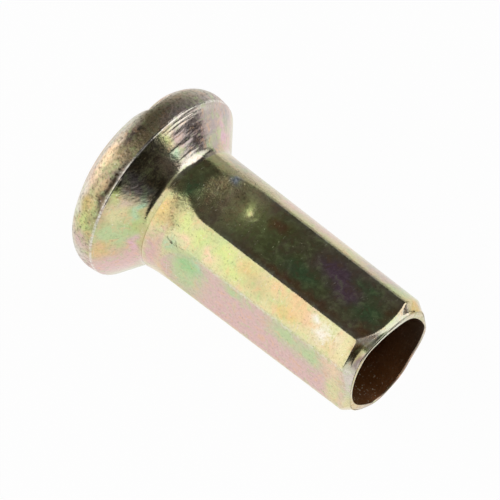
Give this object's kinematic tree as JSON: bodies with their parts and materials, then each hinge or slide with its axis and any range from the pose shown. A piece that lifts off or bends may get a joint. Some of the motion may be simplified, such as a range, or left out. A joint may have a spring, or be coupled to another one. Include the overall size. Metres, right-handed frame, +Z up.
{
  "type": "spoke nipple",
  "caption": "Spoke nipple for a wire wheel, with a slotted dome head, a conical seat, a round neck, a shank squared for the key and a bored, chamfered open end, in yellow zinc plated steel",
  "frame": {"origin": "On the ground under the middle of the part as it lies at rest, on the edge of its seat and the end of one flat", "axes": "+X from the head toward the open end along the ground, +Z up, +Y completes the frame. The part's own axis lies in the XZ plane and dips toward the open end"},
  "size_m": [0.0172, 0.0098, 0.0098],
  "materials": {
    "yellow_zinc_steel": "gloss"
  },
  "bodies": {
    "root": {"spoke_nipple": "yellow_zinc_steel"}
  },
  "joints": []
}
